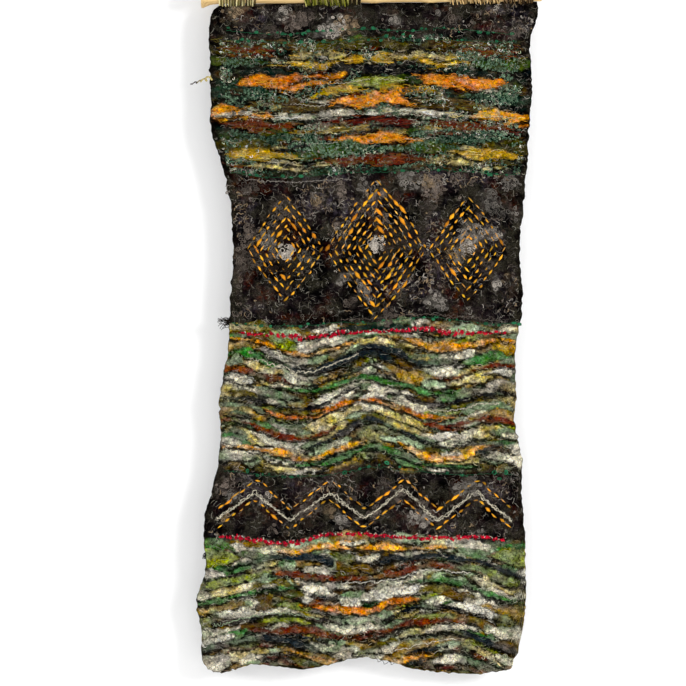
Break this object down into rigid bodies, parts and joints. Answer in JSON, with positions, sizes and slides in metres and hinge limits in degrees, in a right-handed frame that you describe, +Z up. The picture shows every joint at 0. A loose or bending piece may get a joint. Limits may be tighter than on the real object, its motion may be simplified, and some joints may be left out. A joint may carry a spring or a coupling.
{
  "type": "felt wall hanging with rod",
  "caption": "Long thick felt wall hanging with an uneven outline, lashed by runs of yarn turns to a peeled branch, to be hung on a wall as decoration.",
  "frame": {"origin": "on the branch's axis at mid-length, where wall hooks or nails hold the branch up", "axes": "+X along the branch, to the right as seen from the front; +Y back to the wall, so the front faces -Y; +Z up"},
  "size_m": [0.6128, 0.0295, 1.2132],
  "materials": {
    "peeled_wood": "matte",
    "dark_felt": "matte",
    "yarn_pale": "matte",
    "yarn_lime": "matte",
    "yarn_dark": "matte",
    "yarn_beige": "matte",
    "yarn_brown": "matte",
    "stitch_yarn": "matte",
    "dyed_wool": "matte"
  },
  "bodies": {
    "root": {"rod": "peeled_wood", "felt": "dark_felt", "lashing_pale": "yarn_pale", "lashing_lime": "yarn_lime", "lashing_dark": "yarn_dark", "lashing_beige": "yarn_beige", "lashing_brown": "yarn_brown"}
  },
  "joints": []
}
